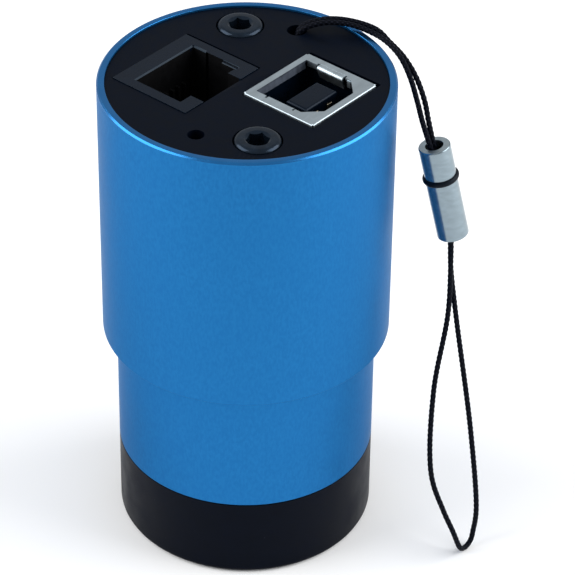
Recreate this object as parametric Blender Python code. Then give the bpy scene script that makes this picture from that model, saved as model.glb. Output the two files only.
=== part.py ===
"""Guide camera for a telescope: a stepped metal body with a 1.25 inch nose and a wrist lanyard.

The origin is at the bottom centre of the dust cap, +Z runs up the optical axis to the rear
plate, and X and Y follow the sides of the two sockets. Sizes below are in millimetres, and
the mesh builders turn them into metres.
"""
import math

import bmesh
import bpy
from mathutils import Matrix, Vector

MM = 0.001
GAP = 0.3                      # clearance kept between pieces that touch
ROUND = 64                     # sides of the large turned pieces
SMALL_ROUND = 32
TINY_ROUND = 16

# Heights along the optical axis
CAP_TOP = 10.6
SHOULDER = 27.85               # the step between nose barrel and body
BODY_TOP = 62.4
PLATE_RECESS = 0.25
PLATE_TOP = BODY_TOP - PLATE_RECESS
PLATE_THICKNESS = 5.0
PLATE_BOTTOM = PLATE_TOP - PLATE_THICKNESS
BULKHEAD = 24.0
SPIGOT_TOP = 31.85
SENSOR_BOARD = (34.9, 36.2)
MAIN_BOARD = (44.0, 45.6)

# Radii
BARREL_RADIUS = 15.875         # the standard 1.25 inch eyepiece barrel
BODY_RADIUS = 17.6
BODY_BORE = 16.2
PLATE_POCKET = 16.65
PLATE_RADIUS = PLATE_POCKET - GAP
SPIGOT_RADIUS = 14.9
LIP_RADIUS = SPIGOT_RADIUS + GAP
SEAT_RADIUS = 16.2             # the shoulder's flat seat starts here, clear of the barrel
SEAT_RELIEF = 0.15
NOSE_BORE = 14.0
FILTER_THREAD = 14.25          # M28.5 x 0.6 for standard filters
APERTURE = 7.0
WINDOW_RADIUS = 10.0
BOARD_RADIUS = 15.6

# M3 tie screws and standoffs, two on the diagonal
SCREW_PLACES = ((-8.8, 8.8), (9.1, -8.6))
SCREW_RADIUS = 1.3
CLEAR_RADIUS = 1.6
HEAD_RADIUS = 2.75
HEAD_HEIGHT = 3.0
HEAD_PROUD = 0.35
KEY_ACROSS_FLATS = 2.5
STANDOFF_ACROSS_FLATS = 5.0
STUD_LENGTH = 3.55

# Sockets in the rear plate
USB_CENTRE = (6.8, 3.3)
USB_SIZE = (10.6, 11.6)
USB_OPENING = (8.7, 9.0)
USB_CORNER = 1.9
USB_PROUD = 0.3
USB_SHEET = 0.3
USB_TONGUE = (3.2, 5.6)
GUIDE_CENTRE = (-6.5, -3.5)
GUIDE_SIZE = (11.4, 12.8)
GUIDE_CAVITY_X = (-3.3, 3.7)
GUIDE_CAVITY_HALF_Y = 5.0
GUIDE_LATCH_END = 5.45
GUIDE_LATCH_HALF_Y = 3.2
GUIDE_FLOOR = 49.3
CONTACT_PITCH = 1.02

# Small holes
LED_PLACE = (3.05, -12.35)
LED_HOLE = 1.0
LANYARD_PLACE = (-3.0, 12.45)
LANYARD_HOLE = 1.2

# Lanyard: one cord, doubled, through a metal toggle
CORD_RADIUS = 0.35
CORD_STEP = 2.25
TOGGLE_CENTRE = (17.37, 15.98, 46.5)
TOGGLE_AXIS = (-0.177, -0.124, 0.976)
TOGGLE_LENGTH = 12.9
TOGGLE_RADIUS = 1.95
TOGGLE_BORE = 1.1
RING_HEIGHT = 2.0              # of the O-ring over the toggle's centre
RING_RADIUS = 2.33
RING_SECTION = (0.27, 0.42)    # half width and half height
RING_GROOVE = 1.49
KNOT_SCALE = 0.5
KNOT_RADIUS = 0.34

# The cord's route: out of the plate, over the rim, down through the toggle, round the loop
# that rests on the table, and back beside itself.
OUTWARD_ROUTE = (
    (-2.75, 12.15, 57.1),
    (-2.75, 12.15, 60.2),
    (-2.65, 12.25, 61.75),
    (-2.15, 12.65, 62.6),
    (-0.3, 14.3, 63.45),
    (2.05, 16.2, 63.3),
    (4.95, 17.1, 62.85),
    (7.34, 16.89, 62.62),
    (9.69, 16.44, 61.8),
    (11.85, 15.64, 60.3),
    (13.75, 14.68, 58.35),
    (14.85, 14.48, 55.9),
    (16.15, 14.65, 52.55),
    (17.64, 15.7, 46.5),
    (18.53, 16.28, 40.35),
    (19.1, 15.85, 36.1),
    (20.0, 14.6, 30.0),
    (20.75, 11.45, 20.15),
    (23.17, 8.6, 9.9),
    (25.62, 8.11, 5.89),
    (27.62, 7.63, 3.9),
)
LOOP_END = (
    (28.28, 8.39, 1.13),
    (28.29, 8.87, 0.6),
    (28.3, 9.56, 0.4),
    (28.31, 10.25, 0.6),
    (28.32, 10.73, 1.13),
)
RETURN_ROUTE = (
    (28.23, 11.11, 1.98),
    (28.32, 11.41, 5.3),
    (25.35, 13.4, 15.0),
    (20.4, 15.6, 29.9),
    (18.6, 16.55, 35.5),
    (17.99, 16.85, 40.35),
    (17.22, 16.36, 46.5),
    (16.0, 15.43, 52.55),
    (15.18, 15.28, 55.65),
    (14.22, 15.52, 58.15),
    (12.14, 16.42, 60.05),
    (9.62, 17.19, 61.42),
    (6.88, 17.8, 62.15),
    (4.85, 17.95, 62.9),
    (1.5, 16.9, 63.3),
    (-0.8, 14.95, 63.45),
    (-2.65, 13.3, 62.6),
    (-3.15, 12.9, 61.75),
    (-3.25, 12.75, 60.2),
    (-3.25, 12.75, 57.1),
)


def clear_scene():
    for obj in list(bpy.data.objects):
        bpy.data.objects.remove(obj, do_unlink=True)


def make_material(name, colour, roughness, metallic=0.0):
    material = bpy.data.materials.new(name)
    material.use_nodes = True
    shader = material.node_tree.nodes["Principled BSDF"]
    shader.inputs["Base Color"].default_value = (*colour, 1.0)
    shader.inputs["Roughness"].default_value = roughness
    shader.inputs["Metallic"].default_value = metallic
    return material


def add_object(name, data, material=None):
    """Put mesh or curve data into the scene as one named sub-part."""
    if material is not None:
        data.materials.append(material)
    obj = bpy.data.objects.new(name, data)
    bpy.context.scene.collection.objects.link(obj)
    return obj


def mesh_from(bm, name):
    """Close a bmesh off into a mesh with smooth round faces and sharp edges."""
    bmesh.ops.recalc_face_normals(bm, faces=bm.faces)
    mesh = bpy.data.meshes.new(name)
    bm.to_mesh(mesh)
    bm.free()
    mesh.shade_smooth()
    mesh.set_sharp_from_angle(angle=math.radians(35))
    return mesh


def turned_mesh(name, profile, sides):
    """Turn a section of (radius, height) points about Z.

    A section that starts on the axis ends there too. Any other is a closed ring.
    """
    bm = bmesh.new()
    verts = [bm.verts.new((radius * MM, 0.0, height * MM)) for radius, height in profile]
    edges = [bm.edges.new(pair) for pair in zip(verts, verts[1:])]
    if profile[0][0] > 0.0:
        edges.append(bm.edges.new((verts[-1], verts[0])))
    bmesh.ops.spin(bm, geom=verts + edges, cent=(0, 0, 0), axis=(0, 0, 1),
                   angle=2 * math.pi, steps=sides, use_merge=True)
    bmesh.ops.remove_doubles(bm, verts=bm.verts, dist=1e-7)
    return mesh_from(bm, name)


def prism_mesh(name, outline, low, high):
    """Extrude an outline of (x, y) points from one height to another."""
    bm = bmesh.new()
    base = bm.faces.new([bm.verts.new((x * MM, y * MM, low * MM)) for x, y in outline])
    raised = bmesh.ops.extrude_face_region(bm, geom=[base])["geom"]
    top = [item for item in raised if isinstance(item, bmesh.types.BMVert)]
    bmesh.ops.translate(bm, verts=top, vec=(0, 0, (high - low) * MM))
    return mesh_from(bm, name)


def rectangle(size_x, size_y, x=0.0, y=0.0):
    half_x = size_x / 2
    half_y = size_y / 2
    return [(x - half_x, y - half_y), (x + half_x, y - half_y),
            (x + half_x, y + half_y), (x - half_x, y + half_y)]


def polygon(radius, sides, x=0.0, y=0.0):
    step = 2 * math.pi / sides
    return [(x + radius * math.cos(i * step), y + radius * math.sin(i * step))
            for i in range(sides)]


def hexagon(across_flats):
    return polygon(across_flats / math.sqrt(3), 6)


def arc(centre, radius, start, end, steps):
    """Points of a profile's rounded corner, angles in degrees."""
    points = []
    for i in range(steps + 1):
        angle = math.radians(start + (end - start) * i / steps)
        points.append((centre[0] + radius * math.cos(angle),
                       centre[1] + radius * math.sin(angle)))
    return points


def turned(name, profile, material, sides=ROUND):
    return add_object(name, turned_mesh(name, profile, sides), material)


def prism(name, outline, low, high, material):
    return add_object(name, prism_mesh(name, outline, low, high), material)


def place(obj, x, y, z=0.0):
    obj.location = Vector((x, y, z)) * MM
    return obj


def as_guide(obj):
    """Mark a cutter, which is not a piece of the object."""
    obj.hide_render = True
    obj.display_type = "WIRE"
    return obj


def combine(target, tool, operation):
    modifier = target.modifiers.new(tool.name, "BOOLEAN")
    modifier.operation = operation
    modifier.object = tool
    return target


def cut_prism(target, name, outline, low, high):
    tool = as_guide(add_object(name, prism_mesh(name, outline, low, high)))
    tool.matrix_world = target.matrix_basis.copy()
    return combine(target, tool, "DIFFERENCE")


def cut_hole(target, name, radius, low, high, x=0.0, y=0.0, sides=TINY_ROUND):
    return cut_prism(target, name, polygon(radius, sides, x, y), low, high)


def add_prism(target, name, outline, low, high):
    tool = as_guide(add_object(name, prism_mesh(name, outline, low, high)))
    tool.matrix_world = target.matrix_basis.copy()
    return combine(target, tool, "UNION")


def smooth_route(points, spacing):
    """Points a fixed distance apart on a centripetal Catmull-Rom curve through a route."""
    route = [Vector(point) for point in points]
    route.insert(0, 2 * route[0] - route[1])
    route.append(2 * route[-1] - route[-2])
    fine = []
    for i in range(1, len(route) - 2):
        fine += spline_span(route[i - 1:i + 3], 24)
    fine.append(route[-2])
    total = sum((b - a).length for a, b in zip(fine, fine[1:]))
    count = round(total / spacing)
    return spaced_along(fine, total / count, count)


def spline_span(four, steps):
    """The stretch of the curve between the middle two of four route points."""
    p0, p1, p2, p3 = four
    t1 = (p1 - p0).length ** 0.5
    t2 = t1 + (p2 - p1).length ** 0.5
    t3 = t2 + (p3 - p2).length ** 0.5
    points = []
    for i in range(steps):
        t = t1 + (t2 - t1) * i / steps
        a1 = p0.lerp(p1, t / t1)
        a2 = p1.lerp(p2, (t - t1) / (t2 - t1))
        a3 = p2.lerp(p3, (t - t2) / (t3 - t2))
        b1 = a1.lerp(a2, t / t2)
        b2 = a2.lerp(a3, (t - t1) / (t3 - t1))
        points.append(b1.lerp(b2, (t - t1) / (t2 - t1)))
    return points


def spaced_along(points, spacing, count):
    """Walk a polyline and drop a point every spacing, with both ends kept."""
    kept = [points[0]]
    walked = 0.0
    for a, b in zip(points, points[1:]):
        length = (b - a).length
        while len(kept) < count and walked + length >= spacing * len(kept):
            kept.append(a.lerp(b, (spacing * len(kept) - walked) / length))
        walked += length
    kept.append(points[-1])
    return kept


def wire(name, points, radius, material, resolution, closed=False):
    """A round wire or cord along points, as a bevelled curve."""
    curve = bpy.data.curves.new(name, "CURVE")
    curve.dimensions = "3D"
    curve.bevel_depth = radius * MM
    curve.bevel_resolution = resolution
    curve.use_fill_caps = not closed
    spline = curve.splines.new("POLY")
    spline.points.add(len(points) - 1)
    spline.use_cyclic_u = closed
    for target, point in zip(spline.points, points):
        target.co = (point[0] * MM, point[1] * MM, point[2] * MM, 1.0)
    return add_object(name, curve, material)


def make_materials():
    return {
        "blue_anodised": make_material("blue_anodised", (0.03, 0.21, 0.55), 0.35, 0.7),
        "black_anodised": make_material("black_anodised", (0.012, 0.016, 0.024), 0.45, 0.3),
        "cap_plastic": make_material("cap_plastic", (0.008, 0.010, 0.016), 0.5),
        "black_plastic": make_material("black_plastic", (0.016, 0.022, 0.028), 0.5),
        "nickel_sheet": make_material("nickel_sheet", (0.42, 0.46, 0.48), 0.35, 1.0),
        "toggle_steel": make_material("toggle_steel", (0.55, 0.58, 0.60), 0.25, 1.0),
        "black_screw": make_material("black_screw", (0.03, 0.035, 0.045), 0.35, 0.6),
        "brass": make_material("brass", (0.62, 0.45, 0.18), 0.35, 1.0),
        "gold_contact": make_material("gold_contact", (0.8, 0.55, 0.2), 0.25, 1.0),
        "circuit_board": make_material("circuit_board", (0.01, 0.09, 0.04), 0.4),
        "chip_epoxy": make_material("chip_epoxy", (0.012, 0.012, 0.013), 0.5),
        "crystal_can": make_material("crystal_can", (0.6, 0.6, 0.6), 0.3, 1.0),
        "sensor_glass": make_material("sensor_glass", (0.5, 0.6, 0.65), 0.05),
        "window_glass": make_material("window_glass", (0.8, 0.9, 0.95), 0.03),
        "rubber": make_material("rubber", (0.01, 0.01, 0.011), 0.6),
        "led_lens": make_material("led_lens", (0.35, 0.03, 0.02), 0.2),
        "cord": make_material("cord", (0.006, 0.006, 0.010), 0.8),
    }


def make_housing(materials):
    """The body tube, the nose barrel below it, the dust cap and the rear plate."""
    edge = 0.2
    blue = materials["blue_anodised"]
    turned("main_body", [
        (LIP_RADIUS, SHOULDER + SEAT_RELIEF),
        (SEAT_RADIUS, SHOULDER + SEAT_RELIEF),
        (SEAT_RADIUS, SHOULDER),
        (BODY_RADIUS - edge, SHOULDER),
        (BODY_RADIUS, SHOULDER + edge),
        (BODY_RADIUS, BODY_TOP - edge),
        (BODY_RADIUS - edge, BODY_TOP),
        (PLATE_POCKET + edge / 2, BODY_TOP),
        (PLATE_POCKET, BODY_TOP - edge / 2),
        (PLATE_POCKET, PLATE_BOTTOM - GAP),
        (BODY_BORE, PLATE_BOTTOM - GAP),
        (BODY_BORE, SHOULDER + 2.5),
        (LIP_RADIUS, SHOULDER + 2.5),
    ], blue)

    low = CAP_TOP + GAP
    thread_end = low + 5.2
    pocket_floor = BULKHEAD + 1.5
    barrel = turned("nose_barrel", [
        (FILTER_THREAD, low),
        (BARREL_RADIUS - edge, low),
        (BARREL_RADIUS, low + edge),
        (BARREL_RADIUS, SHOULDER - GAP),
        (SPIGOT_RADIUS, SHOULDER - GAP),
        (SPIGOT_RADIUS, SPIGOT_TOP),
        (WINDOW_RADIUS + GAP, SPIGOT_TOP),
        (WINDOW_RADIUS + GAP, pocket_floor),
        (APERTURE, pocket_floor),
        (APERTURE, BULKHEAD),
        (NOSE_BORE, BULKHEAD),
        (NOSE_BORE, thread_end),
        (FILTER_THREAD, thread_end),
    ], blue)
    for i, (x, y) in enumerate(SCREW_PLACES, start=1):
        cut_hole(barrel, f"tapped_hole_{i}", CLEAR_RADIUS, SPIGOT_TOP - STUD_LENGTH,
                 SPIGOT_TOP + 1.0, x, y)

    base_round = 0.8
    plug = NOSE_BORE - GAP
    floor = 2.2
    turned("dust_cap", [
        (0.0, 0.0),
        *arc((BARREL_RADIUS - base_round, base_round), base_round, -90, 0, 4),
        (BARREL_RADIUS, CAP_TOP - edge),
        (BARREL_RADIUS - edge, CAP_TOP),
        (plug, CAP_TOP),
        (plug, CAP_TOP + 4.8),
        (plug - edge, CAP_TOP + 5.0),
        (plug - 1.4, CAP_TOP + 5.0),
        (plug - 1.4, floor),
        (0.0, floor),
    ], materials["cap_plastic"])

    make_rear_plate(materials["black_anodised"])


def make_rear_plate(material):
    """The round plate with windows for the sockets and counterbores for the screws."""
    edge = 0.15
    plate = turned("rear_plate", [
        (0.0, PLATE_BOTTOM),
        (PLATE_RADIUS, PLATE_BOTTOM),
        (PLATE_RADIUS, PLATE_TOP - edge),
        (PLATE_RADIUS - edge, PLATE_TOP),
        (0.0, PLATE_TOP),
    ], material)
    below = PLATE_BOTTOM - 1.0
    above = PLATE_TOP + 1.0
    for name, size, centre in (("usb_window", USB_SIZE, USB_CENTRE),
                               ("guide_window", GUIDE_SIZE, GUIDE_CENTRE)):
        outline = rectangle(size[0] + 2 * GAP, size[1] + 2 * GAP, *centre)
        cut_prism(plate, name, outline, below, above)
    seat = PLATE_TOP + HEAD_PROUD - HEAD_HEIGHT - GAP
    for i, (x, y) in enumerate(SCREW_PLACES, start=1):
        profile = [(0.0, below), (CLEAR_RADIUS, below), (CLEAR_RADIUS, seat),
                   (HEAD_RADIUS + GAP, seat), (HEAD_RADIUS + GAP, above), (0.0, above)]
        name = f"counterbore_{i}"
        tool = as_guide(add_object(name, turned_mesh(name, profile, SMALL_ROUND)))
        combine(plate, place(tool, x, y), "DIFFERENCE")
    cut_hole(plate, "led_hole", LED_HOLE, below, above, *LED_PLACE)
    cut_hole(plate, "lanyard_hole", LANYARD_HOLE, below, above, *LANYARD_PLACE)


def make_standoff(name, low, high, stud, bore, material):
    """A hexagonal standoff with a stud below and a tapped bore above."""
    standoff = prism(name, hexagon(STANDOFF_ACROSS_FLATS), low, high, material)
    add_prism(standoff, f"{name}_stud", polygon(SCREW_RADIUS, TINY_ROUND), low - stud,
              low + 0.3)
    cut_hole(standoff, f"{name}_bore", CLEAR_RADIUS, high - bore, high + 1.0)
    return standoff


def make_tie_rods(materials):
    """Plate screws and the standoffs that they pull on, down to the nose barrel."""
    stages = (
        ("lower", SPIGOT_TOP + GAP, SENSOR_BOARD[0] - GAP, STUD_LENGTH - GAP, 1.7),
        ("middle", SENSOR_BOARD[1] + GAP, MAIN_BOARD[0] - GAP, 3.3, 1.7),
        ("upper", MAIN_BOARD[1] + GAP, PLATE_BOTTOM - GAP, 3.6, 6.3),
    )
    for i, (x, y) in enumerate(SCREW_PLACES, start=1):
        for stage, low, high, stud, bore in stages:
            standoff = make_standoff(f"{stage}_standoff_{i}", low, high, stud, bore,
                                     materials["brass"])
            place_with_tools(standoff, x, y)
        place_with_tools(make_plate_screw(f"plate_screw_{i}", materials["black_screw"]), x, y)


def place_with_tools(obj, x, y):
    """Move a piece and the guides that shape it to one place."""
    place(obj, x, y)
    for modifier in obj.modifiers:
        place(modifier.object, x, y)


def make_plate_screw(name, material):
    """An M3 socket head screw, standing slightly proud of the plate."""
    top = PLATE_TOP + HEAD_PROUD
    under = top - HEAD_HEIGHT
    rim = 0.4
    screw = turned(name, [
        (0.0, under - 8.5),
        (SCREW_RADIUS, under - 8.5),
        (SCREW_RADIUS, under),
        (HEAD_RADIUS, under),
        *arc((HEAD_RADIUS - rim, top - rim), rim, 0, 90, 3),
        (0.0, top),
    ], material, SMALL_ROUND)
    return cut_prism(screw, f"{name}_socket", hexagon(KEY_ACROSS_FLATS), top - 1.6, top + 1.0)


def make_optics(materials):
    """The window over the sensor, its gasket and its threaded retaining ring."""
    floor = BULKHEAD + 1.5
    gasket = (floor + GAP, floor + 0.9)
    glass = (gasket[1] + GAP, gasket[1] + 1.8)
    ring = (glass[1] + GAP, glass[1] + 2.1)
    turned("window_gasket", ring_profile(7.6, WINDOW_RADIUS, *gasket), materials["rubber"])
    turned("window_glass", [(0.0, glass[0]), (WINDOW_RADIUS, glass[0]),
                            (WINDOW_RADIUS, glass[1]), (0.0, glass[1])],
           materials["window_glass"])
    retainer = turned("window_retainer", ring_profile(8.2, WINDOW_RADIUS, *ring),
                      materials["black_anodised"])
    cut_prism(retainer, "spanner_slot", rectangle(1.2, 24.0), ring[1] - 0.8, ring[1] + 1.0)


def ring_profile(inner, outer, low, high):
    return [(inner, low), (outer, low), (outer, high), (inner, high)]


def make_board(name, low, high, material):
    """A round board with a flat on each side and holes for the standoffs' studs."""
    outline = [(x, max(-BOARD_RADIUS + 1.6, min(BOARD_RADIUS - 1.6, y)))
               for x, y in polygon(BOARD_RADIUS, ROUND)]
    board = prism(name, outline, low, high, material)
    for i, (x, y) in enumerate(SCREW_PLACES, start=1):
        cut_hole(board, f"{name}_hole_{i}", CLEAR_RADIUS, low - 1.0, high + 1.0, x, y)


def make_electronics(materials):
    """Two stacked boards, the image sensor facing down the nose, and the main chips."""
    green = materials["circuit_board"]
    make_board("sensor_board", *SENSOR_BOARD, green)
    make_board("main_board", *MAIN_BOARD, green)

    sensor_top = SENSOR_BOARD[0] - GAP
    sensor_low = sensor_top - 1.3
    epoxy = materials["chip_epoxy"]
    prism("image_sensor", rectangle(10.0, 10.0), sensor_low, sensor_top, epoxy)
    prism("sensor_cover_glass", rectangle(8.4, 8.4), sensor_low - GAP - 0.5,
          sensor_low - GAP, materials["sensor_glass"])

    deck = SENSOR_BOARD[1] + GAP
    ceiling = MAIN_BOARD[0] - GAP
    prism("board_connector", rectangle(11.5, 2.6, -1.2, -11.4), deck, ceiling,
          materials["black_plastic"])
    prism("image_processor", rectangle(7.0, 7.0, -4.5, -2.5), deck, deck + 0.9, epoxy)
    prism("memory_chip", rectangle(8.0, 5.2, 5.5, 5.0), deck, deck + 1.1, epoxy)
    prism("voltage_regulator", rectangle(3.5, 6.5, 10.5, -1.5), deck, deck + 1.7, epoxy)
    prism("usb_controller", rectangle(8.0, 8.0, 5.5, 1.5), ceiling - 0.9, ceiling, epoxy)
    prism("guide_optocoupler", rectangle(4.4, 10.2, -7.0, -3.0), ceiling - 2.0, ceiling, epoxy)
    prism("crystal", rectangle(10.0, 4.0, 1.5, 10.5), ceiling - 3.4, ceiling,
          materials["crystal_can"])
    make_status_led(materials["led_lens"])


def make_status_led(material):
    """A small lamp on two legs, right under its hole in the plate."""
    foot = MAIN_BOARD[1] + GAP
    top = PLATE_BOTTOM - GAP
    flange = top - 4.0
    lens = 1.45
    led = turned("status_led", [
        (0.0, flange),
        (1.7, flange),
        (1.7, flange + 0.8),
        (lens, flange + 0.8),
        *arc((0.0, top - lens), lens, 0, 90, 4)[:-1],
        (0.0, top),
    ], material, TINY_ROUND)
    for side in (-1, 1):
        add_prism(led, f"led_leg_{side + 2}", rectangle(0.5, 0.5, side * 0.85), foot,
                  flange + 0.2)
    place_with_tools(led, *LED_PLACE)


def usb_outline(size, corner):
    """The socket's opening: square corners on one side, cut corners on the other."""
    x = size[0] / 2
    y = size[1] / 2
    return [(-x, -y), (x - corner, -y), (x, corner - y), (x, y - corner), (x - corner, y),
            (-x, y)]


def make_usb_socket(materials):
    """An upright USB type B socket: folded can, plastic insert and four contacts."""
    foot = MAIN_BOARD[1] + GAP
    top = PLATE_TOP + USB_PROUD
    under = top - USB_SHEET
    can = prism("usb_shell", rectangle(*USB_SIZE), foot, top, materials["nickel_sheet"])
    inner = rectangle(USB_SIZE[0] - 2 * USB_SHEET, USB_SIZE[1] - 2 * USB_SHEET)
    cut_prism(can, "usb_can_hollow", inner, foot - 1.0, under)
    cut_prism(can, "usb_mouth", usb_outline(USB_OPENING, USB_CORNER), under - 1.0, top + 1.0)
    tab_y = USB_OPENING[1] / 2 - GAP - USB_SHEET / 2
    for side in (-1, 1):
        tab = rectangle(4.0, USB_SHEET, -0.65, side * tab_y)
        bridge = rectangle(3.8, 0.8, -0.65, side * (tab_y + 0.35))
        add_prism(can, f"usb_spring_{side + 2}", tab, top - 3.4, top - 0.1)
        add_prism(can, f"usb_spring_root_{side + 2}", bridge, under + 0.05, top - 0.1)
    place_with_tools(can, *USB_CENTRE)

    insert_top = under - GAP
    cavity_floor = foot + 5.5
    wall = USB_SHEET + GAP
    insert_outline = rectangle(USB_SIZE[0] - 2 * wall, USB_SIZE[1] - 2 * wall)
    insert = prism("usb_insert", insert_outline, foot, insert_top, materials["black_plastic"])
    cavity = usb_outline(USB_OPENING, USB_CORNER)
    cut_prism(insert, "usb_cavity", cavity, cavity_floor, top + 1.0)
    tongue_x = 0.25
    add_prism(insert, "usb_tongue", rectangle(*USB_TONGUE, tongue_x), cavity_floor - 0.5,
              PLATE_TOP - 0.6)
    place_with_tools(insert, *USB_CENTRE)

    contact_x = USB_TONGUE[0] / 2 + GAP + 0.1
    number = 0
    for side_x in (-1, 1):
        for side_y in (-1, 1):
            number += 1
            outline = rectangle(0.2, 1.0, tongue_x + side_x * contact_x, side_y * 1.25)
            contact = prism(f"usb_contact_{number}", outline, cavity_floor + GAP,
                            PLATE_TOP - 2.0, materials["gold_contact"])
            place(contact, *USB_CENTRE)


def make_guide_port(materials):
    """The six-way modular socket, with its latch channel and six spring contacts."""
    foot = MAIN_BOARD[1] + GAP
    top = PLATE_TOP + 0.1
    housing = prism("guide_port_housing", rectangle(*GUIDE_SIZE), foot, top,
                    materials["black_plastic"])
    low_x, high_x = GUIDE_CAVITY_X
    cavity = [(low_x, -GUIDE_CAVITY_HALF_Y), (high_x, -GUIDE_CAVITY_HALF_Y),
              (high_x, -GUIDE_LATCH_HALF_Y), (GUIDE_LATCH_END, -GUIDE_LATCH_HALF_Y),
              (GUIDE_LATCH_END, GUIDE_LATCH_HALF_Y), (high_x, GUIDE_LATCH_HALF_Y),
              (high_x, GUIDE_CAVITY_HALF_Y), (low_x, GUIDE_CAVITY_HALF_Y)]
    cut_prism(housing, "guide_cavity", cavity, GUIDE_FLOOR, top + 1.0)
    place_with_tools(housing, *GUIDE_CENTRE)

    wall_x = low_x + GAP + 0.2
    bend = top - 2.2
    for i in range(6):
        y = (i - 2.5) * CONTACT_PITCH
        path = [(wall_x, y, GUIDE_FLOOR + GAP), (wall_x, y, bend - 0.4),
                (wall_x + 0.2, y, bend), (wall_x + 0.6, y, bend),
                (wall_x + 0.85, y, bend - 0.4), (wall_x + 1.5, y, bend - 6.0)]
        contact = wire(f"guide_port_contact_{i + 1}", path, 0.2, materials["gold_contact"], 0)
        place(contact, *GUIDE_CENTRE)


def make_lanyard(materials):
    """The doubled cord, its stopper knot under the plate, and the toggle that rides on it."""
    route = [*OUTWARD_ROUTE, *LOOP_END, *RETURN_ROUTE]
    points = smooth_route(route, CORD_STEP)
    wire("lanyard_cord", points, CORD_RADIUS, materials["cord"], 2)

    turns = 48
    knot = []
    for i in range(turns):
        t = 2 * math.pi * i / turns
        reach = 2 + math.cos(3 * t)
        knot.append((KNOT_SCALE * reach * math.cos(2 * t), KNOT_SCALE * reach * math.sin(2 * t),
                     KNOT_SCALE * math.sin(3 * t)))
    knot_obj = wire("lanyard_knot", knot, KNOT_RADIUS, materials["cord"], 1, closed=True)
    height = OUTWARD_ROUTE[0][2] - GAP - KNOT_SCALE - KNOT_RADIUS
    place(knot_obj, *LANYARD_PLACE, height)

    axis = bpy.data.objects.new("toggle_axis", None)
    bpy.context.scene.collection.objects.link(axis)
    turn = Vector(TOGGLE_AXIS).to_track_quat("Z", "Y").to_matrix().to_4x4()
    axis.matrix_world = Matrix.Translation(Vector(TOGGLE_CENTRE) * MM) @ turn

    half = TOGGLE_LENGTH / 2
    edge = 0.15
    reach = RING_SECTION[1] + GAP
    toggle = turned("lanyard_toggle", [
        (TOGGLE_BORE, -half),
        (TOGGLE_RADIUS - edge, -half),
        (TOGGLE_RADIUS, edge - half),
        (TOGGLE_RADIUS, RING_HEIGHT - reach),
        (RING_GROOVE, RING_HEIGHT - reach),
        (RING_GROOVE, RING_HEIGHT + reach),
        (TOGGLE_RADIUS, RING_HEIGHT + reach),
        (TOGGLE_RADIUS, half - edge),
        (TOGGLE_RADIUS - edge, half),
        (TOGGLE_BORE, half),
    ], materials["toggle_steel"], SMALL_ROUND)
    section = []
    for i in range(8):
        angle = 2 * math.pi * i / 8
        section.append((RING_RADIUS - RING_SECTION[0] * (1 - math.cos(angle)),
                        RING_HEIGHT + RING_SECTION[1] * math.sin(angle)))
    ring = turned("toggle_o_ring", section, materials["rubber"], SMALL_ROUND)
    for piece in (toggle, ring):
        piece.parent = axis


def main():
    clear_scene()
    materials = make_materials()
    make_housing(materials)
    make_optics(materials)
    make_tie_rods(materials)
    make_electronics(materials)
    make_usb_socket(materials)
    make_guide_port(materials)
    make_lanyard(materials)


main()
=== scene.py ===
"""Looks of the guide camera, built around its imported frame.

The turned shells, the sheet metal and moulded sockets, the screws and the braided lanyard are
rebuilt here as smooth, rounded pieces. The boards, chips, standoffs and window inside keep their
CAD meshes. All of them get procedural materials. Lengths are in millimetres, and the mesh
builders turn them into metres. Places come from the frame's boxes.
"""
import math

import bmesh
import bpy
from mathutils import Matrix, Vector


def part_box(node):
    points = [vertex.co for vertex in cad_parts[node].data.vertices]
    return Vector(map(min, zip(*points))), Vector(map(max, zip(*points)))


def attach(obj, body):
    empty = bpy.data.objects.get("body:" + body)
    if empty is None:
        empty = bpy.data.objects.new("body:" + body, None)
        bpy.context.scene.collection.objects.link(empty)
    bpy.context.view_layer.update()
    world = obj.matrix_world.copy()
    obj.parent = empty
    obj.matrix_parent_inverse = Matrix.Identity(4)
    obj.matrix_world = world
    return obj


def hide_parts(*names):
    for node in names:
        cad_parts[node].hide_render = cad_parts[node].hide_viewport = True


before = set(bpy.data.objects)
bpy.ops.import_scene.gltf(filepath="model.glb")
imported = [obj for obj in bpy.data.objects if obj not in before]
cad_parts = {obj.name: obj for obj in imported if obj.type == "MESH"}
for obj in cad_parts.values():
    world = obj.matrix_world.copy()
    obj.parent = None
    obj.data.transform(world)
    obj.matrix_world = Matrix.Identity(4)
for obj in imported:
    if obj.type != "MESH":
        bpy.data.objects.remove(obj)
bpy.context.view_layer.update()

MM = 0.001
UP = Vector((0, 0, 1))


def box(node):
    """Lowest and highest corner of a CAD node, in millimetres."""
    low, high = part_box(node)
    return low / MM, high / MM


def middle(node):
    low, high = box(node)
    return (low + high) / 2


# Driving sizes, read from the frame
BODY_RADIUS = box("main_body")[1].x
SHOULDER = box("main_body")[0].z
BODY_TOP = box("main_body")[1].z
BARREL_RADIUS = box("nose_barrel")[1].x
BARREL_FOOT = box("nose_barrel")[0].z
SPIGOT_TOP = box("nose_barrel")[1].z
PLATE_BOTTOM = box("rear_plate")[0].z
PLATE_TOP = box("rear_plate")[1].z
CAP_PLUG_TOP = box("dust_cap")[1].z
USB_CENTRE = middle("usb_shell")
USB_TOP = box("usb_shell")[1].z
USB_SIZE = box("usb_shell")[1] - box("usb_shell")[0]
GUIDE_CENTRE = middle("guide_port_housing")
GUIDE_TOP = box("guide_port_housing")[1].z
GUIDE_SIZE = box("guide_port_housing")[1] - box("guide_port_housing")[0]
FOOT = box("usb_shell")[0].z
SCREWS = [middle("plate_screw_1"), middle("plate_screw_2")]
SCREW_TOP = box("plate_screw_1")[1].z
SCREW_FOOT = box("plate_screw_1")[0].z
HEAD_RADIUS = (box("plate_screw_1")[1].x - box("plate_screw_1")[0].x) / 2
LED_CENTRE = middle("status_led")
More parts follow.
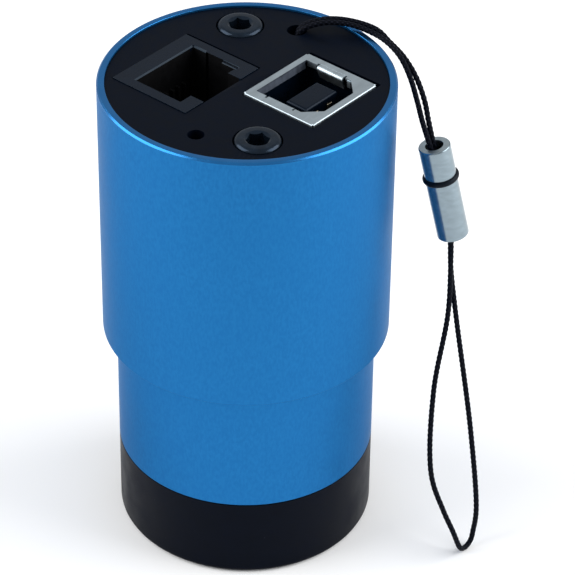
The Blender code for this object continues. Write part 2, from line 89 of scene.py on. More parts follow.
TOGGLE_CENTRE = middle("lanyard_toggle")

# Fine sizes that the frame leaves out
SEAM = 0.06  # a closed joint between two turned pieces
FINE = 192  # sides of the large turned pieces
MEDIUM = 96
SMALL = 48
BEVEL = 0.06  # a broken edge on metal
FIT = 0.08  # the gap round a socket in the plate
PLATE_POCKET = 16.65  # radius of the body's pocket for the plate
HEAD_HEIGHT = 3.0  # of the M3 screws' heads
USB_SHEET = 0.3
USB_OPENING_X = 4.35
USB_OPENING_Y = 4.5
USB_CORNER = 1.9
TAB_LOW = -2.5  # the spring tabs' ends along X, from the socket's centre
TAB_HIGH = 1.3
CONTACT_PITCH = 1.02  # of the guide socket

# The reference view: where the camera stands, in the frame turned by VIEW_TURN about Z
VIEW_TURN = math.radians(41)
ELEVATION = math.radians(36.595)
DISTANCE = 378.08
LOOK_HEIGHT = 30.3
YAW = math.radians(-0.767)
PITCH = math.radians(0.249)
ROLL = math.radians(0.268)
LENS = 193.02

# The lanyard: its route out of the plate, down through the toggle to the loop, and back
CORD_DIAMETER = 0.7
OUTWARD_ROUTE = (
    (-2.75, 12.15, 57.1), (-2.75, 12.15, 60.2), (-2.65, 12.25, 61.75), (-2.15, 12.65, 62.6),
    (-0.3, 14.3, 63.45), (2.05, 16.2, 63.3), (4.95, 17.1, 62.85), (7.34, 16.89, 62.62),
    (9.69, 16.44, 61.8), (11.85, 15.64, 60.3), (13.75, 14.68, 58.35), (14.85, 14.48, 55.9),
    (16.15, 14.65, 52.55), (17.64, 15.7, 46.5), (18.53, 16.28, 40.35), (19.1, 15.85, 36.1),
    (20.0, 14.6, 30.0), (20.75, 11.45, 20.15), (23.17, 8.6, 9.9), (25.62, 8.11, 5.89),
    (27.62, 7.63, 3.9),
)
LOOP_END = (
    (28.28, 8.39, 1.13), (28.29, 8.87, 0.6), (28.3, 9.56, 0.4), (28.31, 10.25, 0.6),
    (28.32, 10.73, 1.13),
)
RETURN_ROUTE = (
    (28.23, 11.11, 1.98), (28.32, 11.41, 5.3), (25.35, 13.4, 15.0), (20.4, 15.6, 29.9),
    (18.6, 16.55, 35.5), (17.99, 16.85, 40.35), (17.22, 16.36, 46.5), (16.0, 15.43, 52.55),
    (15.18, 15.28, 55.65), (14.22, 15.52, 58.15), (12.14, 16.42, 60.05), (9.62, 17.19, 61.42),
    (6.88, 17.8, 62.15), (4.85, 17.95, 62.9), (1.5, 16.9, 63.3), (-0.8, 14.95, 63.45),
    (-2.65, 13.3, 62.6), (-3.15, 12.9, 61.75), (-3.25, 12.75, 60.2), (-3.25, 12.75, 57.1),
)
TOGGLE_AXIS = Vector((-0.177, -0.124, 0.976))
LANYARD_PLACE = (Vector(OUTWARD_ROUTE[0]) + Vector(RETURN_ROUTE[-1])) / 2
CARRIERS = 4  # strands of the braid that turn each way
BRAID_CELL = 0.64  # length of one crossing along the cord
BRAID_SIDES = 24
BRAID_STEP = 0.08
BRAID_RELIEF = 0.28  # share of the radius
TOGGLE_LENGTH = 12.9
TOGGLE_RADIUS = 1.95
TOGGLE_BORE = 1.05
GROOVE_HEIGHT = 2.0  # of the O-ring over the toggle's centre
GROOVE_RADIUS = 1.64
RING_SECTION = 0.30  # radius of the O-ring's own section


# ---- camera

def put(name, data):
    """A new object in the scene."""
    obj = bpy.data.objects.new(name, data)
    bpy.context.scene.collection.objects.link(obj)
    return obj


def make_camera():
    back = Vector((0, -math.cos(ELEVATION), math.sin(ELEVATION)))
    right = Vector((1, 0, 0))
    up = back.cross(right)
    place = (back * DISTANCE + UP * LOOK_HEIGHT) * MM
    view = Matrix((right, up, back)).transposed().to_4x4()
    turn = Matrix.Rotation(YAW, 4, "Y") @ Matrix.Rotation(PITCH, 4, "X")
    turn = turn @ Matrix.Rotation(ROLL, 4, "Z")
    data = bpy.data.cameras.new("camera")
    data.lens = LENS
    camera = put("camera", data)
    spin = Matrix.Rotation(VIEW_TURN, 4, "Z")
    camera.matrix_world = spin @ Matrix.Translation(place) @ view @ turn
    bpy.context.scene.camera = camera


# ---- material nodes

class Tree:
    """A material's node tree, with short names for the nodes used here."""

    def __init__(self, name):
        self.material = bpy.data.materials.new(name)
        self.material.use_nodes = True
        self.nodes = self.material.node_tree.nodes
        self.links = self.material.node_tree.links
        self.shader = self.nodes["Principled BSDF"]

    def join(self, source, target):
        """Link a node's output to a socket, or set the socket to a number or a colour."""
        if isinstance(source, bpy.types.NodeSocket):
            self.links.new(source, target)
        else:
            target.default_value = (*source, 1.0) if isinstance(source, tuple) else source

    def set(self, **values):
        for name, value in values.items():
            self.shader.inputs[name.replace("_", " ")].default_value = value

    def feed(self, source, name):
        self.join(source, self.shader.inputs[name])

    def place(self, stretch=(1, 1, 1), kind="Object"):
        """Coordinates in millimetres, multiplied by stretch along each axis."""
        source = self.nodes.new("ShaderNodeTexCoord").outputs[kind]
        scale = self.nodes.new("ShaderNodeMapping")
        unit = 1 / MM if kind == "Object" else 1
        scale.inputs["Scale"].default_value = [unit * s for s in stretch]
        self.join(source, scale.inputs["Vector"])
        return scale.outputs[0]

    def noise(self, vector, size, detail=2.0):
        """Noise with features of that size in millimetres."""
        node = self.nodes.new("ShaderNodeTexNoise")
        node.inputs["Scale"].default_value = 1 / size
        node.inputs["Detail"].default_value = detail
        self.join(vector, node.inputs["Vector"])
        return node.outputs[0]

    def cells(self, vector, size, feature="F1", distance="EUCLIDEAN"):
        node = self.nodes.new("ShaderNodeTexVoronoi")
        node.feature = feature
        if feature != "DISTANCE_TO_EDGE":
            node.distance = distance
        node.inputs["Scale"].default_value = 1 / size
        self.join(vector, node.inputs["Vector"])
        return node.outputs["Distance"]

    def span(self, value, low, high, to_low=0.0, to_high=1.0):
        """Map a value from low..high to to_low..to_high, clamped."""
        node = self.nodes.new("ShaderNodeMapRange")
        for socket, number in zip(node.inputs, (value, low, high, to_low, to_high)):
            self.join(number, socket)
        return node.outputs["Result"]

    def calc(self, operation, a, b):
        node = self.nodes.new("ShaderNodeMath")
        node.operation = operation
        self.join(a, node.inputs[0])
        self.join(b, node.inputs[1])
        return node.outputs[0]

    def mix(self, factor, a, b):
        """Colour a where factor is 0, and b where it is 1."""
        node = self.nodes.new("ShaderNodeMix")
        node.data_type = "RGBA"
        self.join(factor, node.inputs[0])
        self.join(a, node.inputs[6])
        self.join(b, node.inputs[7])
        return node.outputs[2]

    def bump(self, height, depth, normal=None):
        """Relief of that depth in millimetres."""
        node = self.nodes.new("ShaderNodeBump")
        node.inputs["Distance"].default_value = depth * MM
        self.join(height, node.inputs["Height"])
        if normal is not None:
            self.join(normal, node.inputs["Normal"])
        return node.outputs[0]


def shade(colour, factor):
    return tuple(min(1.0, c * factor) for c in colour)


def surface(name, colour, roughness, metallic=0.0, specular=0.5, tone=0.1, tone_size=2.0,
            gloss=0.06, grain=0.12, depth=0.004, stretch=(1, 1, 1), tint=(1, 1, 1)):
    """A finish with slow changes of tone, uneven gloss and a fine grain in its relief."""
    tree = Tree(name)
    tree.set(Metallic=metallic, Specular_IOR_Level=specular, Specular_Tint=(*tint, 1.0))
    place = tree.place(stretch)
    slow = tree.span(tree.noise(place, tone_size, 3.0), 0.3, 0.7)
    fine = tree.noise(place, grain, 2.0)
    colours = tree.mix(slow, shade(colour, 1 - tone), shade(colour, 1 + tone))
    tree.feed(colours, "Base Color")
    both = tree.calc("ADD", tree.calc("MULTIPLY", slow, 0.6), tree.calc("MULTIPLY", fine, 0.4))
    tree.feed(tree.span(both, 0.2, 0.8, roughness - gloss, roughness + gloss), "Roughness")
    relief = tree.bump(fine, depth)
    tree.feed(relief, "Normal")
    return tree, colours, relief


def turned_marks(tree, relief, pitch=0.09, depth=0.0012):
    """Fine rings left by a lathe, which follow the UV map's second axis."""
    rings = tree.noise(tree.place((0.02, 1, 1), "UV"), pitch, 1.0)
    tree.feed(tree.bump(rings, depth, relief), "Normal")


# ---- materials

def make_blue():
    """Blasted and anodised: a fine satin mottle, with faint marks along the tube."""
    tree, colours, _ = surface("blue_anodised", (0.0113, 0.1375, 0.376), 0.40, 0.86, 0.40,
                               tone=0.025, tone_size=6.0, gloss=0.03, grain=0.22, depth=0.005,
                               tint=(0.50, 0.56, 0.62))
    fine = tree.span(tree.noise(tree.place((1, 1, 0.45)), 0.28, 3.0), 0.35, 0.65)
    tree.feed(tree.mix(fine, colours, (0.0141, 0.158, 0.409)), "Base Color")
    return tree.material


def make_blue_cut():
    """The rim and its chamfers: cut again after the blasting, so smoother and brighter."""
    tree, _, relief = surface("blue_cut", (0.021, 0.168, 0.440), 0.24, 0.92, tone=0.05,
                              tone_size=3.0, gloss=0.05, grain=0.08, depth=0.0006)
    turned_marks(tree, relief)
    return tree.material


def make_cap_plastic():
    tree, colours, _ = surface("cap_plastic", (0.0010, 0.0018, 0.0052), 0.40, 0.0, 0.058,
                               tone=0.16, tone_size=3.0, gloss=0.07, grain=0.14, depth=0.006,
                               tint=(0.6, 0.75, 1.0))
    dust = tree.cells(tree.place(), 2.4)
    specks = tree.span(dust, 0.022, 0.03, 1.0, 0.0)
    tree.feed(tree.mix(specks, colours, (0.022, 0.026, 0.034)), "Base Color")
    return tree.material


def make_nickel():
    """Plated sheet, with the faint grain of rolling along it and a few light scratches."""
    tree, colours, _ = surface("nickel_sheet", (0.43, 0.50, 0.545), 0.40, 1.0, tone=0.07,
                               tone_size=0.9, gloss=0.06, grain=0.06, depth=0.0012,
                               stretch=(1, 0.25, 1))
    scratches = tree.cells(tree.place((3.0, 0.2, 1)), 1.1, "DISTANCE_TO_EDGE")
    lines = tree.span(scratches, 0.0, 0.012, 1.0, 0.0)
    tree.feed(tree.mix(lines, colours, (0.52, 0.58, 0.62)), "Base Color")
    return tree.material


def make_steel():
    """Turned steel, brushed round: short streaks of tone across the lathe's rings."""
    tree, _, relief = surface("toggle_steel", (0.240, 0.300, 0.338), 0.22, 0.93, tone=0.11,
                              tone_size=0.45, gloss=0.04, grain=0.1, depth=0.0008,
                              stretch=(0.4, 0.4, 1.2))
    turned_marks(tree, relief, 0.11, 0.0014)
    return tree.material


def make_board_green():
    """Solder mask over copper: straight tracks show as lighter, raised lines."""
    tree, colours, relief = surface("circuit_board", (0.006, 0.060, 0.028), 0.30, 0.0, 0.5,
                                    tone=0.1, tone_size=1.0, grain=0.05, depth=0.0015)
    tracks = tree.cells(tree.place((1, 1, 0)), 1.3, "F1", "CHEBYCHEV")
    lines = tree.span(tree.calc("PINGPONG", tracks, 0.13), 0.045, 0.06)
    tree.feed(tree.mix(lines, colours, (0.012, 0.125, 0.055)), "Base Color")
    tree.feed(tree.bump(lines, 0.02, relief), "Normal")
    return tree.material


def make_glass():
    """Window glass with a faint green and violet cast from its coating."""
    tree = Tree("window_glass")
    tree.set(Roughness=0.02, IOR=1.5, Transmission_Weight=1.0)
    slow = tree.noise(tree.place(), 8.0, 1.0)
    tree.feed(tree.mix(slow, (0.90, 0.97, 0.95), (0.95, 0.93, 0.99)), "Base Color")
    return tree.material


def make_led_lens():
    tree = Tree("led_lens")
    tree.set(Roughness=0.12, Transmission_Weight=0.6, IOR=1.5)
    slow = tree.noise(tree.place(), 1.5, 1.0)
    tree.feed(tree.mix(slow, (0.28, 0.02, 0.015), (0.40, 0.05, 0.03)), "Base Color")
    return tree.material


def make_cord():
    """Black polyester yarn: fine fibres, with painted shade between the strands and painted
    highlights on their crowns.
    """
    tree, colours, _ = surface("cord", (0.0010, 0.0018, 0.0046), 0.55, 0.0, 0.07, tone=0.3,
                               tone_size=0.35, gloss=0.1, grain=0.05, depth=0.006,
                               tint=(0.8, 0.85, 1.0))
    # The braid's height paints shade into the creases and highlights onto the crowns
    crown = tree.nodes.new("ShaderNodeAttribute")
    crown.attribute_name = "crown"
    highlight_mask = tree.span(crown.outputs["Fac"], 0.80, 1.0)
    highlighted = tree.mix(highlight_mask, colours, (0.0130, 0.0140, 0.0220))
    crease_shade_mask = tree.span(crown.outputs["Fac"], 0.35, 0.75)
    tree.feed(tree.mix(crease_shade_mask, (0.0006, 0.0006, 0.0012), highlighted), "Base Color")
    tree.set(Sheen_Weight=0.02, Sheen_Roughness=0.4, Sheen_Tint=(0.4, 0.52, 0.75, 1.0))
    return tree.material


MATERIALS = {}


def plain(*values, **details):
    """The material of a surface that needs nothing more."""
    return surface(*values, **details)[0].material


def make_materials():
    moulded = {"tone": 0.12, "tone_size": 1.5, "gloss": 0.06, "grain": 0.07}
    # Sheet where it is folded down: rougher, and darker as painted shade
    folded = {"tone": 0.14, "tone_size": 0.7, "gloss": 0.05, "grain": 0.07, "depth": 0.002,
              "stretch": (1, 1, 0.3)}
    MATERIALS.update({
        "blue": make_blue(),
        "blue_cut": make_blue_cut(),
        "plate": plain("plate_black", (0.0006, 0.0018, 0.0055), 0.44, 0.0, 0.065, tone=0.2,
                       tone_size=1.2, gloss=0.05, grain=0.11, depth=0.005,
                       tint=(0.55, 0.75, 1.0)),
        "cap": make_cap_plastic(),
        "plastic": plain("socket_plastic", (0.0010, 0.0034, 0.0092), 0.28, 0.0, 0.18,
                         depth=0.003, tint=(0.6, 0.8, 1.0), **moulded),
        "insert": plain("insert_plastic", (0.0010, 0.0036, 0.0088), 0.30, 0.0, 0.15,
                        depth=0.002, tint=(0.6, 0.75, 1.0), **moulded),
        # Matte black for the blackened bores, and painted shade inside the guide socket's cavity
        "bore": plain("bore_black", (0.0016, 0.0017, 0.0022), 0.60, 0.0, 0.10, tone=0.2,
                      tone_size=1.0, grain=0.1, depth=0.006),
        "nickel": make_nickel(),
        "nickel_wall": plain("nickel_wall", (0.25, 0.29, 0.32), 0.46, 1.0, **folded),
        "nickel_lip": plain("nickel_lip", (0.115, 0.135, 0.175), 0.46, 1.0, **folded),
        "steel": make_steel(),
        # Faced on the lathe: duller than the toggle's side, and brighter as a painted highlight
        # on its end faces
        "steel_end_highlight": plain("toggle_face", (0.40, 0.47, 0.50), 0.42, 0.95, tone=0.12,
                            tone_size=0.6, gloss=0.05, grain=0.1, depth=0.001),
        "screw": plain("black_screw", (0.0085, 0.0175, 0.0315), 0.23, 0.72, tone=0.2,
                       tone_size=0.8, gloss=0.08, grain=0.07, depth=0.003),
        "brass": plain("standoff_brass", (0.60, 0.43, 0.17), 0.28, 1.0, tone=0.08, grain=0.08,
                       depth=0.001),
        "gold": plain("gold_contact", (0.33, 0.29, 0.22), 0.30, 1.0, tone=0.06, tone_size=0.5,
                      grain=0.05, depth=0.0006),
        "board": make_board_green(),
        "epoxy": plain("chip_epoxy", (0.010, 0.010, 0.011), 0.55, 0.0, 0.4, tone=0.15,
                       tone_size=0.6, grain=0.05, depth=0.004),
        "can": plain("crystal_can", (0.58, 0.58, 0.57), 0.24, 1.0, tone=0.05, tone_size=1.0,
                     grain=0.06, depth=0.0008, stretch=(0.2, 1, 1)),
        "ceramic": plain("sensor_ceramic", (0.028, 0.025, 0.030), 0.5, tone_size=0.7,
                         grain=0.04, depth=0.002),
        "glass": make_glass(),
        "rubber": plain("rubber", (0.0028, 0.0042, 0.0072), 0.46, 0.0, 0.13, tone=0.12,
                        tone_size=0.8, gloss=0.08, grain=0.07, depth=0.004,
                        tint=(0.7, 0.85, 1.0)),
        "led": make_led_lens(),
        "cord": make_cord(),
    })


# ---- mesh builders

def filleted(points, closed, steps=5):
    """An outline of (x, y) or (x, y, radius) points, with the given corners rounded."""
    result = []
    count = len(points)
    for i, point in enumerate(points):
        corner = Vector(point[:2])
        inner = closed or 0 < i < count - 1
        if len(point) == 2 or not inner:
            result.append(tuple(corner))
            continue
        before = (Vector(points[i - 1][:2]) - corner).normalized()
        after = (Vector(points[(i + 1) % count][:2]) - corner).normalized()
        half = before.angle(after) / 2
        centre = corner + (before + after).normalized() * point[2] / math.sin(half)
        start = corner + before * point[2] / math.tan(half) - centre
        end = corner + after * point[2] / math.tan(half) - centre
        turn = start.angle(end)
        for k in range(steps + 1):
            a = turn * (1 - k / steps)
            b = turn * k / steps
            spot = centre + (start * math.sin(a) + end * math.sin(b)) / math.sin(turn)
            result.append(tuple(spot))
    return result


def finished_mesh(bm, name):
    bmesh.ops.recalc_face_normals(bm, faces=bm.faces)
    mesh = bpy.data.meshes.new(name)
    bm.to_mesh(mesh)
    bm.free()
    mesh.shade_smooth()
    mesh.set_sharp_from_angle(angle=math.radians(40))
    return mesh


def add(name, mesh, materials, weighted=False):
    """Put a mesh into the scene as a piece. weighted evens the shading of a turned one."""
    for key in [materials] if isinstance(materials, str) else materials:
        mesh.materials.append(MATERIALS[key])
    obj = put(name, mesh)
    if weighted:
        shade_evenly(obj)
    return obj


def shade_evenly(obj):
    modifier = obj.modifiers.new("even_shading", "WEIGHTED_NORMAL")
    modifier.keep_sharp = True


def keep(obj, slot, body, *nodes):
    """The piece rides on a body and stands for CAD nodes. slot is not used."""
    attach(obj, body)
    if nodes:
        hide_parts(*nodes)
    return obj


def turned_mesh(name, profile, sides, shape=None):
    """Turn a section of (radius, height[, fillet]) points about Z.

    A section that starts on the axis ends there too, and any other is a closed ring. shape
    gives a changed radius from a radius, height and angle. The UV map holds the distance
    round and the distance along the section, in millimetres.
    """
    closed = profile[0][0] > 0
    section = filleted(profile, closed)
    if closed:
        section.append(section[0])
    along = [0.0]
    for a, b in zip(section, section[1:]):
        along.append(along[-1] + math.dist(a, b))
    bm = bmesh.new()
    layer = bm.loops.layers.uv.new("lathe")
    rows = []
    for radius, height in section[:-1] if closed else section:
        row = []
        for k in range(sides if radius > 0 else 1):
            angle = 2 * math.pi * k / sides
            reach = shape(radius, height, angle) if shape and radius > 0 else radius
            spot = (reach * math.cos(angle), reach * math.sin(angle), height)
            row.append(bm.verts.new(Vector(spot) * MM))
        rows.append(row)
    if closed:
        rows.append(rows[0])
    for i, (a, b) in enumerate(zip(rows, rows[1:])):
        for k in range(sides):
            n = (k + 1) % sides
            corners = [(a, k, k, i), (b, k, k, i + 1), (b, n, k + 1, i + 1), (a, n, k + 1, i)]
            if len(a) == 1:
                corners.pop(3)
            elif len(b) == 1:
                corners.pop(2)
            face = bm.faces.new([row[at % len(row)] for row, at, _, _ in corners])
            for loop, (_, _, step, level) in zip(face.loops, corners):
                round_way = 2 * math.pi * BODY_RADIUS * step / sides
                loop[layer].uv = (round_way, along[level])
    return finished_mesh(bm, name)


def turned(name, profile, materials, shape=None):
    return add(name, turned_mesh(name, profile, FINE, shape), materials, weighted=True)


def skin_rings(bm, rings, closed=False, skew=0):
    """Join rings of vertices with faces, capped, or the last two turned by skew if closed."""
    count = len(rings[0])
    last = len(rings) - 2
    for i, (a, b) in enumerate(zip(rings, rings[1:])):
        turn = skew if closed and i == last else 0
        for k in range(count):
            n = (k + 1) % count
            bm.faces.new((a[k], a[n], b[(n + turn) % count], b[(k + turn) % count]))
    if not closed:
        bm.faces.new(rings[0])
        bm.faces.new(rings[-1])


def shift(mesh, centre):
    """Move a mesh that was built round the Z axis to a place in the plate."""
    mesh.transform(Matrix.Translation(Vector((centre[0], centre[1], 0)) * MM))


def prism_mesh(name, outline, low, high):
    """Extrude an outline of (x, y[, fillet]) points from one height to another."""
    bm = bmesh.new()
    corners = [bm.verts.new((x * MM, y * MM, low * MM)) for x, y in filleted(outline, True)]
    base = bm.faces.new(corners)
    raised = bmesh.ops.extrude_face_region(bm, geom=[base])["geom"]
    top = [item for item in raised if isinstance(item, bmesh.types.BMVert)]
    bmesh.ops.translate(bm, verts=top, vec=(0, 0, (high - low) * MM))
    return finished_mesh(bm, name)


def block(name, outline, low, high, materials, place=(0, 0)):
    mesh = prism_mesh(name, outline, low, high)
    shift(mesh, place)
    return add(name, mesh, materials)


def rectangle(x0, x1, y0, y1, fillet=0.0):
    corners = [(x0, y0), (x1, y0), (x1, y1), (x0, y1)]
    return [(*corner, fillet) for corner in corners] if fillet else corners


def polygon(radius, sides, turn=0.0):
    step = 2 * math.pi / sides
    return [(radius * math.cos(i * step + turn), radius * math.sin(i * step + turn))
            for i in range(sides)]


CUT = "DIFFERENCE"
JOIN = "UNION"


def shape_with(target, tools):
    """Cut or add each (tool, operation) in turn, and leave one plain mesh."""
    for tool, operation in tools:
        modifier = target.modifiers.new(operation, "BOOLEAN")
        modifier.operation = operation
        modifier.object = tool
    settle(target)
    for tool, _ in tools:
        bpy.data.objects.remove(tool)


def settle(obj):
    """Replace an object's mesh by its evaluated one, and clear its modifiers."""
    depsgraph = bpy.context.evaluated_depsgraph_get()
    mesh = bpy.data.meshes.new_from_object(obj.evaluated_get(depsgraph))
    obj.modifiers.clear()
    obj.data = mesh


def soften(obj, width=BEVEL, segments=3, angle=35):
    """Round the edges of a piece, and shade its flat faces flat."""
    bevel = obj.modifiers.new("broken_edges", "BEVEL")
    bevel.width = width * MM
    bevel.segments = segments
    bevel.limit_method = "ANGLE"
    bevel.angle_limit = math.radians(angle)
    bevel.use_clamp_overlap = True
    bevel.miter_outer = "MITER_ARC"
    settle(obj)
    obj.data.shade_smooth()
    obj.data.set_sharp_from_angle(angle=math.radians(50))
    shade_evenly(obj)


def paint_faces(obj, index, test):
    """Give the faces whose centre (radius, height) passes a test another material slot."""
    for face in obj.data.polygons:
        centre = face.center / MM
        if test(math.hypot(centre.x, centre.y), centre.z):
            face.material_index = index


# ---- lanyard

def smooth_route(points, spacing):
    """Points a fixed distance apart on a centripetal Catmull-Rom curve through a route."""
    route = [Vector(point) for point in points]
    route.insert(0, 2 * route[0] - route[1])
    route.append(2 * route[-1] - route[-2])
    fine = []
    for i in range(1, len(route) - 2):
        fine += spline_span(route[i - 1:i + 3], 48)
    fine.append(route[-2])
    total = sum((b - a).length for a, b in zip(fine, fine[1:]))
    count = round(total / spacing)
    return spaced_along(fine, total / count, count)


def spline_span(four, steps):
    """The stretch of the curve between the middle two of four route points."""
    p0, p1, p2, p3 = four
    t1 = (p1 - p0).length ** 0.5
    t2 = t1 + (p2 - p1).length ** 0.5
    t3 = t2 + (p3 - p2).length ** 0.5
    points = []
    for i in range(steps):
        t = t1 + (t2 - t1) * i / steps
        a1 = p0.lerp(p1, t / t1)
        a2 = p1.lerp(p2, (t - t1) / (t2 - t1))
        a3 = p2.lerp(p3, (t - t2) / (t3 - t2))
        b1 = a1.lerp(a2, t / t2)
        b2 = a2.lerp(a3, (t - t1) / (t3 - t1))
        points.append(b1.lerp(b2, (t - t1) / (t2 - t1)))
    return points


def spaced_along(points, spacing, count):
    """Walk a polyline and drop a point every spacing, with both ends kept."""
    kept = [points[0]]
    walked = 0.0
    for a, b in zip(points, points[1:]):
        length = (b - a).length
        while len(kept) < count and walked + length >= spacing * len(kept):
            kept.append(a.lerp(b, (spacing * len(kept) - walked) / length))
        walked += length
    kept.append(points[-1])
    return kept


def weave(angle, along):
    """Height of the braid, from 0 to 1, at an angle round the cord and a distance along."""
    right = CARRIERS * angle / (2 * math.pi) + along / BRAID_CELL
    left = CARRIERS * angle / (2 * math.pi) - along / BRAID_CELL
    best = 0.0
    for this, other, sense in ((right, left, 1), (left, right, -1)):
        strand = round(this)
        crown = math.sqrt(max(0.0, 1 - (1.9 * (this - strand)) ** 2))
        over = sense * math.cos(math.pi * other) * (-1) ** strand
        best = max(best, crown * (0.6 + 0.4 * over))
    return best


def braided_tube(name, points, radius, closed=False):
    """A tube along a line, with the over-and-under weave of a braid in its surface."""
    count = len(points)
    ahead = [(points[(i + 1) % count] - points[i - 1]).normalized() if closed or
             0 < i < count - 1 else None for i in range(count)]
    if not closed:
        ahead[0] = (points[1] - points[0]).normalized()
        ahead[-1] = (points[-1] - points[-2]).normalized()
    side = ahead[0].orthogonal().normalized()
    bm = bmesh.new()
    # The braid's height, which the cord material turns into painted shade and painted highlight
    crown = bm.verts.layers.float.new("crown")
    rings = []
    for i, (point, way) in enumerate(zip(points, ahead)):
        side = (side - way * side.dot(way)).normalized()
        other = way.cross(side)
        ring = []
        for k in range(BRAID_SIDES):
            angle = 2 * math.pi * k / BRAID_SIDES
            height = weave(angle, i * BRAID_STEP)
            reach = radius * (1 - BRAID_RELIEF * (1 - height))
            spot = point + (side * math.cos(angle) + other * math.sin(angle)) * reach
            ring.append(bm.verts.new(spot * MM))
            ring[-1][crown] = height
        rings.append(ring)
    skew = 0
    if closed:
        first = (rings[0][0].co / MM - points[0]).normalized()
        turn = math.atan2(first.dot(ahead[0].cross(side)), first.dot(side))
        skew = -round(turn / (2 * math.pi) * BRAID_SIDES)
        rings.append(rings[0])
    skin_rings(bm, rings, closed, skew)
    return add(name, finished_mesh(bm, name), "cord")


def make_cord_piece():
    route = [*OUTWARD_ROUTE, *LOOP_END, *RETURN_ROUTE]
    points = smooth_route(route, BRAID_STEP)
    cord = braided_tube("braided_cord", points, CORD_DIAMETER / 2)
    return keep(cord, "cord", "camera", "lanyard_cord"), points


def make_knot():
    """The stopper knot under the plate, tied from the same braid."""
    low, high = box("lanyard_knot")
    thick = 0.34
    scale = (high.z - low.z) / 2 - thick
    centre = Vector((LANYARD_PLACE.x, LANYARD_PLACE.y, (low.z + high.z) / 2))
    turns = 160
    points = []
    for i in range(turns):
        t = 2 * math.pi * i / turns
        reach = 2 + math.cos(3 * t)
        points.append(centre + Vector((reach * math.cos(2 * t), reach * math.sin(2 * t),
                                       math.sin(3 * t))) * scale)
    knot = braided_tube("stopper_knot", points, thick, closed=True)
    return keep(knot, "cord", "camera", "lanyard_knot")


def toggle_matrix():
    turn = TOGGLE_AXIS.normalized().to_track_quat("Z", "Y").to_matrix().to_4x4()
    return Matrix.Translation(TOGGLE_CENTRE * MM) @ turn


def make_toggle():
    half = TOGGLE_LENGTH / 2
    groove = RING_SECTION * 0.8
    mesh = turned_mesh("toggle_barrel", [
        (TOGGLE_BORE, 0.3 - half, 0.1), (TOGGLE_BORE + 0.06, -half, 0.04),
        (TOGGLE_RADIUS, -half, 0.16), (TOGGLE_RADIUS, GROOVE_HEIGHT - groove, 0.05),
        (GROOVE_RADIUS, GROOVE_HEIGHT - groove * 0.6),
        (GROOVE_RADIUS, GROOVE_HEIGHT + groove * 0.6),
        (TOGGLE_RADIUS, GROOVE_HEIGHT + groove, 0.05), (TOGGLE_RADIUS, half, 0.16),
        (TOGGLE_BORE + 0.06, half, 0.04), (TOGGLE_BORE, half - 0.3, 0.1),
    ], MEDIUM)
    mesh.transform(toggle_matrix())
    barrel = add("toggle_barrel", mesh, "steel", weighted=True)
    # Painted highlight: the end faces take a lighter steel
    barrel.data.materials.append(MATERIALS["steel_end_highlight"])
    for face in barrel.data.polygons:
        if abs(face.normal.dot(TOGGLE_AXIS)) > 0.95:
            face.material_index = 1
    toggle = keep(barrel, "toggle_steel", "toggle", "lanyard_toggle")

    centre = GROOVE_RADIUS + RING_SECTION
    section = [(centre + RING_SECTION * math.cos(a), GROOVE_HEIGHT + RING_SECTION * 1.25 *
                math.sin(a)) for a in (2 * math.pi * i / 24 for i in range(24))]
    mesh = turned_mesh("toggle_ring", section, MEDIUM)
    mesh.transform(toggle_matrix())
    ring = add("toggle_ring", mesh, "rubber", weighted=True)
    return toggle, keep(ring, "rubber", "toggle", "toggle_o_ring")


def make_lanyard():
    cord, points = make_cord_piece()
    knot = make_knot()
    toggle, ring = make_toggle()


# ---- shells

def thread(pitch, depth, low, high):
    """A shape for turned_mesh: a helical thread of that depth between two heights."""
    def radius_at(radius, height, angle):
        if not low < height < high:
            return radius
        turns = height / pitch - angle / (2 * math.pi)
        ridge = 1 - abs(2 * (turns % 1) - 1)
        fade = min(1.0, (height - low) / pitch, (high - height) / pitch)
        return radius - depth * ridge * fade
    return radius_at


def rows_between(radius, low, high, step):
    """Section points up a straight wall, close enough together to carry a thread."""
    count = round((high - low) / step)
    return [(radius, low + (high - low) * i / count) for i in range(1, count)]


def make_body():
    chamfer = 0.22
    lip = 15.2
    lip_top = SHOULDER + 2.5
    bore = 16.2
    ledge = PLATE_BOTTOM - SEAM
    body = turned("body_tube", [
        (lip, SHOULDER, 0.05), (BODY_RADIUS, SHOULDER, 0.15),
        (BODY_RADIUS, BODY_TOP - chamfer, 0.10), (BODY_RADIUS - chamfer, BODY_TOP, 0.10),
        (PLATE_POCKET, BODY_TOP, 0.07), (PLATE_POCKET, ledge), (bore, ledge, 0.05),
        (bore, lip_top), (lip, lip_top, 0.05),
    ], ["blue", "blue_cut"])
    paint_faces(body, 1, lambda radius, height: height > BODY_TOP - chamfer - 0.05
                and radius > PLATE_POCKET)
    return keep(body, "blue_anodised", "camera", "main_body")


def make_barrel():
    bore = 14.0
    crest = 13.97
    root = 14.25
    low = BARREL_FOOT
    thread_end = low + 5.2
    bulkhead = 24.0
    pocket_floor = bulkhead + 1.5
    window_pocket = 10.3
    aperture = 7.0
    spigot = 14.9
    pitch = 0.6
    cut = thread(pitch, root - crest, low + 0.15, thread_end - 0.2)
    barrel = turned("nose_tube", [
        (root, low), (BARREL_RADIUS, low, 0.12), (BARREL_RADIUS, SHOULDER - SEAM, 0.05),
        (spigot, SHOULDER - SEAM), (spigot, SPIGOT_TOP, 0.2), (window_pocket, SPIGOT_TOP, 0.1),
        (window_pocket, pocket_floor), (aperture, pocket_floor, 0.15), (aperture, bulkhead, 0.3),
        (bore, bulkhead, 0.3), (bore, thread_end, 0.05), (root, thread_end),
        *reversed(rows_between(root, low, thread_end, pitch / 10)),
    ], ["blue", "bore"], shape=cut)
    paint_faces(barrel, 1, lambda radius, height: height > thread_end - 0.01
                and radius < bore + 0.02)
    return keep(barrel, "blue_anodised", "camera", "nose_barrel")


